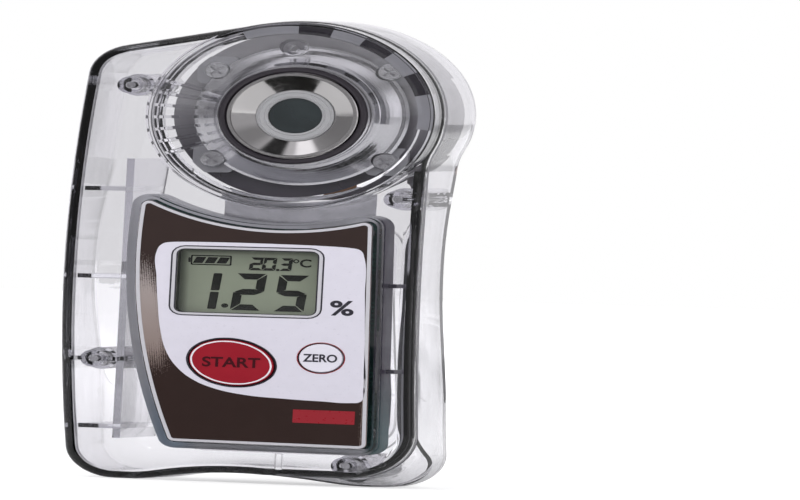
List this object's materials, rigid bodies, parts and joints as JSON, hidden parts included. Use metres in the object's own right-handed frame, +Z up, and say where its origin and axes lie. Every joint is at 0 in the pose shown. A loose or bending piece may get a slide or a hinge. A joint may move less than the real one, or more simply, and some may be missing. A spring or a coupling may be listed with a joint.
{
  "type": "pocket refractometer",
  "caption": "Clear-cased pocket refractometer with a round sample well over a prism, a display panel, two push keys and a battery cover held by a coin screw.",
  "frame": {"origin": "middle of the case's footprint at its lower end, half-way between the turret's rim and the back", "axes": "+X to the right seen from the label side, +Y from the label to the back, +Z up along the case"},
  "size_m": [0.057, 0.031, 0.109],
  "materials": {
    "case_clear": "clear moulded plastic, polished, faint lavender tint",
    "gasket_dark": "dark elastic seal, satin",
    "frosted_grey": "frosted light grey plastic",
    "dark_block": "dark grey plastic",
    "label_print": "dark brown printed plate with a pale panel, satin",
    "pane_clear": "clear pane, polished",
    "display_glass": "grey-green display glass",
    "frame_black": "black moulded frame",
    "elastic_strip": "striped elastic connector",
    "board_green": "circuit board lacquer",
    "chip_black": "moulded chip bodies",
    "screw_steel": "plated steel, satin",
    "dome_steel": "thin stainless domes",
    "mat_grey": "silicone mat",
    "key_red": "red key, satin",
    "key_white": "white key, satin",
    "stage_steel": "polished stainless bowl",
    "collar_silver": "bright turned ring",
    "oring_dark": "round seal",
    "ring_grey": "light grey seal",
    "prism_glass": "polished measuring prism",
    "bracket_grey": "frosted grey plastic",
    "block_dark": "dark moulded plastic",
    "lamp_amber": "tinted lamp resin",
    "lens_clear": "clear lens",
    "sensor_dark": "sensor package",
    "flex_amber": "amber film cable",
    "shield_bright": "bright thin sheet",
    "tray_grey": "moulded tray",
    "cell_sleeve": "printed cell sleeve with bare metal ends",
    "contact_nickel": "nickel-plated sheet and wire",
    "insert_brass": "knurled brass",
    "seal_grey": "flat seal",
    "coin_steel": "turned steel"
  },
  "bodies": {
    "case": {"front_housing": "case_clear", "rear_housing": "case_clear", "housing_gasket": "gasket_dark", "turret_ring": "frosted_grey", "turret_inserts": "dark_block", "label_plate": "label_print", "lcd_window": "pane_clear", "lcd_panel": "display_glass", "lcd_frame": "frame_black", "zebra_strips": "elastic_strip", "board_frame": "frame_black", "main_board": "board_green", "board_chips": "chip_black", "board_screws": "screw_steel", "dome_switches": "dome_steel", "key_mat": "mat_grey", "sample_stage": "stage_steel", "stage_oring": "oring_dark", "stage_collar": "collar_silver", "stage_bracket": "bracket_grey", "stage_screws": "screw_steel", "prism_ring": "ring_grey", "prism": "prism_glass", "thermistor": "chip_black", "optics_block": "block_dark", "led_lamp": "lamp_amber", "condenser_lens": "lens_clear", "image_sensor": "sensor_dark", "sensor_board": "board_green", "flex_cable": "flex_amber", "shield_plate": "shield_bright", "battery_tray": "tray_grey", "battery_left": "cell_sleeve", "battery_right": "cell_sleeve", "battery_contacts": "contact_nickel", "battery_springs": "contact_nickel", "threaded_insert": "insert_brass", "case_screws": "screw_steel"},
    "start_button": {"start_key": "key_red"},
    "zero_button": {"zero_key": "key_white"},
    "cover": {"battery_cover": "case_clear", "cover_seal": "seal_grey"},
    "coin": {"coin_screw": "coin_steel", "coin_screw_clip": "screw_steel"}
  },
  "joints": [
    {"name": "start_press", "type": "slide", "parent": "case", "child": "start_button", "axis": [0, 1, 0], "range_m": [0, 0.0005], "stiffness_N_per_m": 1500, "springref_m": -0.0005},
    {"name": "zero_press", "type": "slide", "parent": "case", "child": "zero_button", "axis": [0, 1, 0], "range_m": [0, 0.0005], "stiffness_N_per_m": 1500, "springref_m": -0.0005},
    {"name": "cover_lift", "type": "slide", "parent": "case", "child": "cover", "axis": [0, 1, 0], "range_m": [0, 0.02]},
    {"name": "coin_turn", "type": "hinge", "parent": "cover", "child": "coin", "pos_m": [0.001, 0.011, 0.034], "axis": [0, 1, 0], "continuous": true}
  ]
}
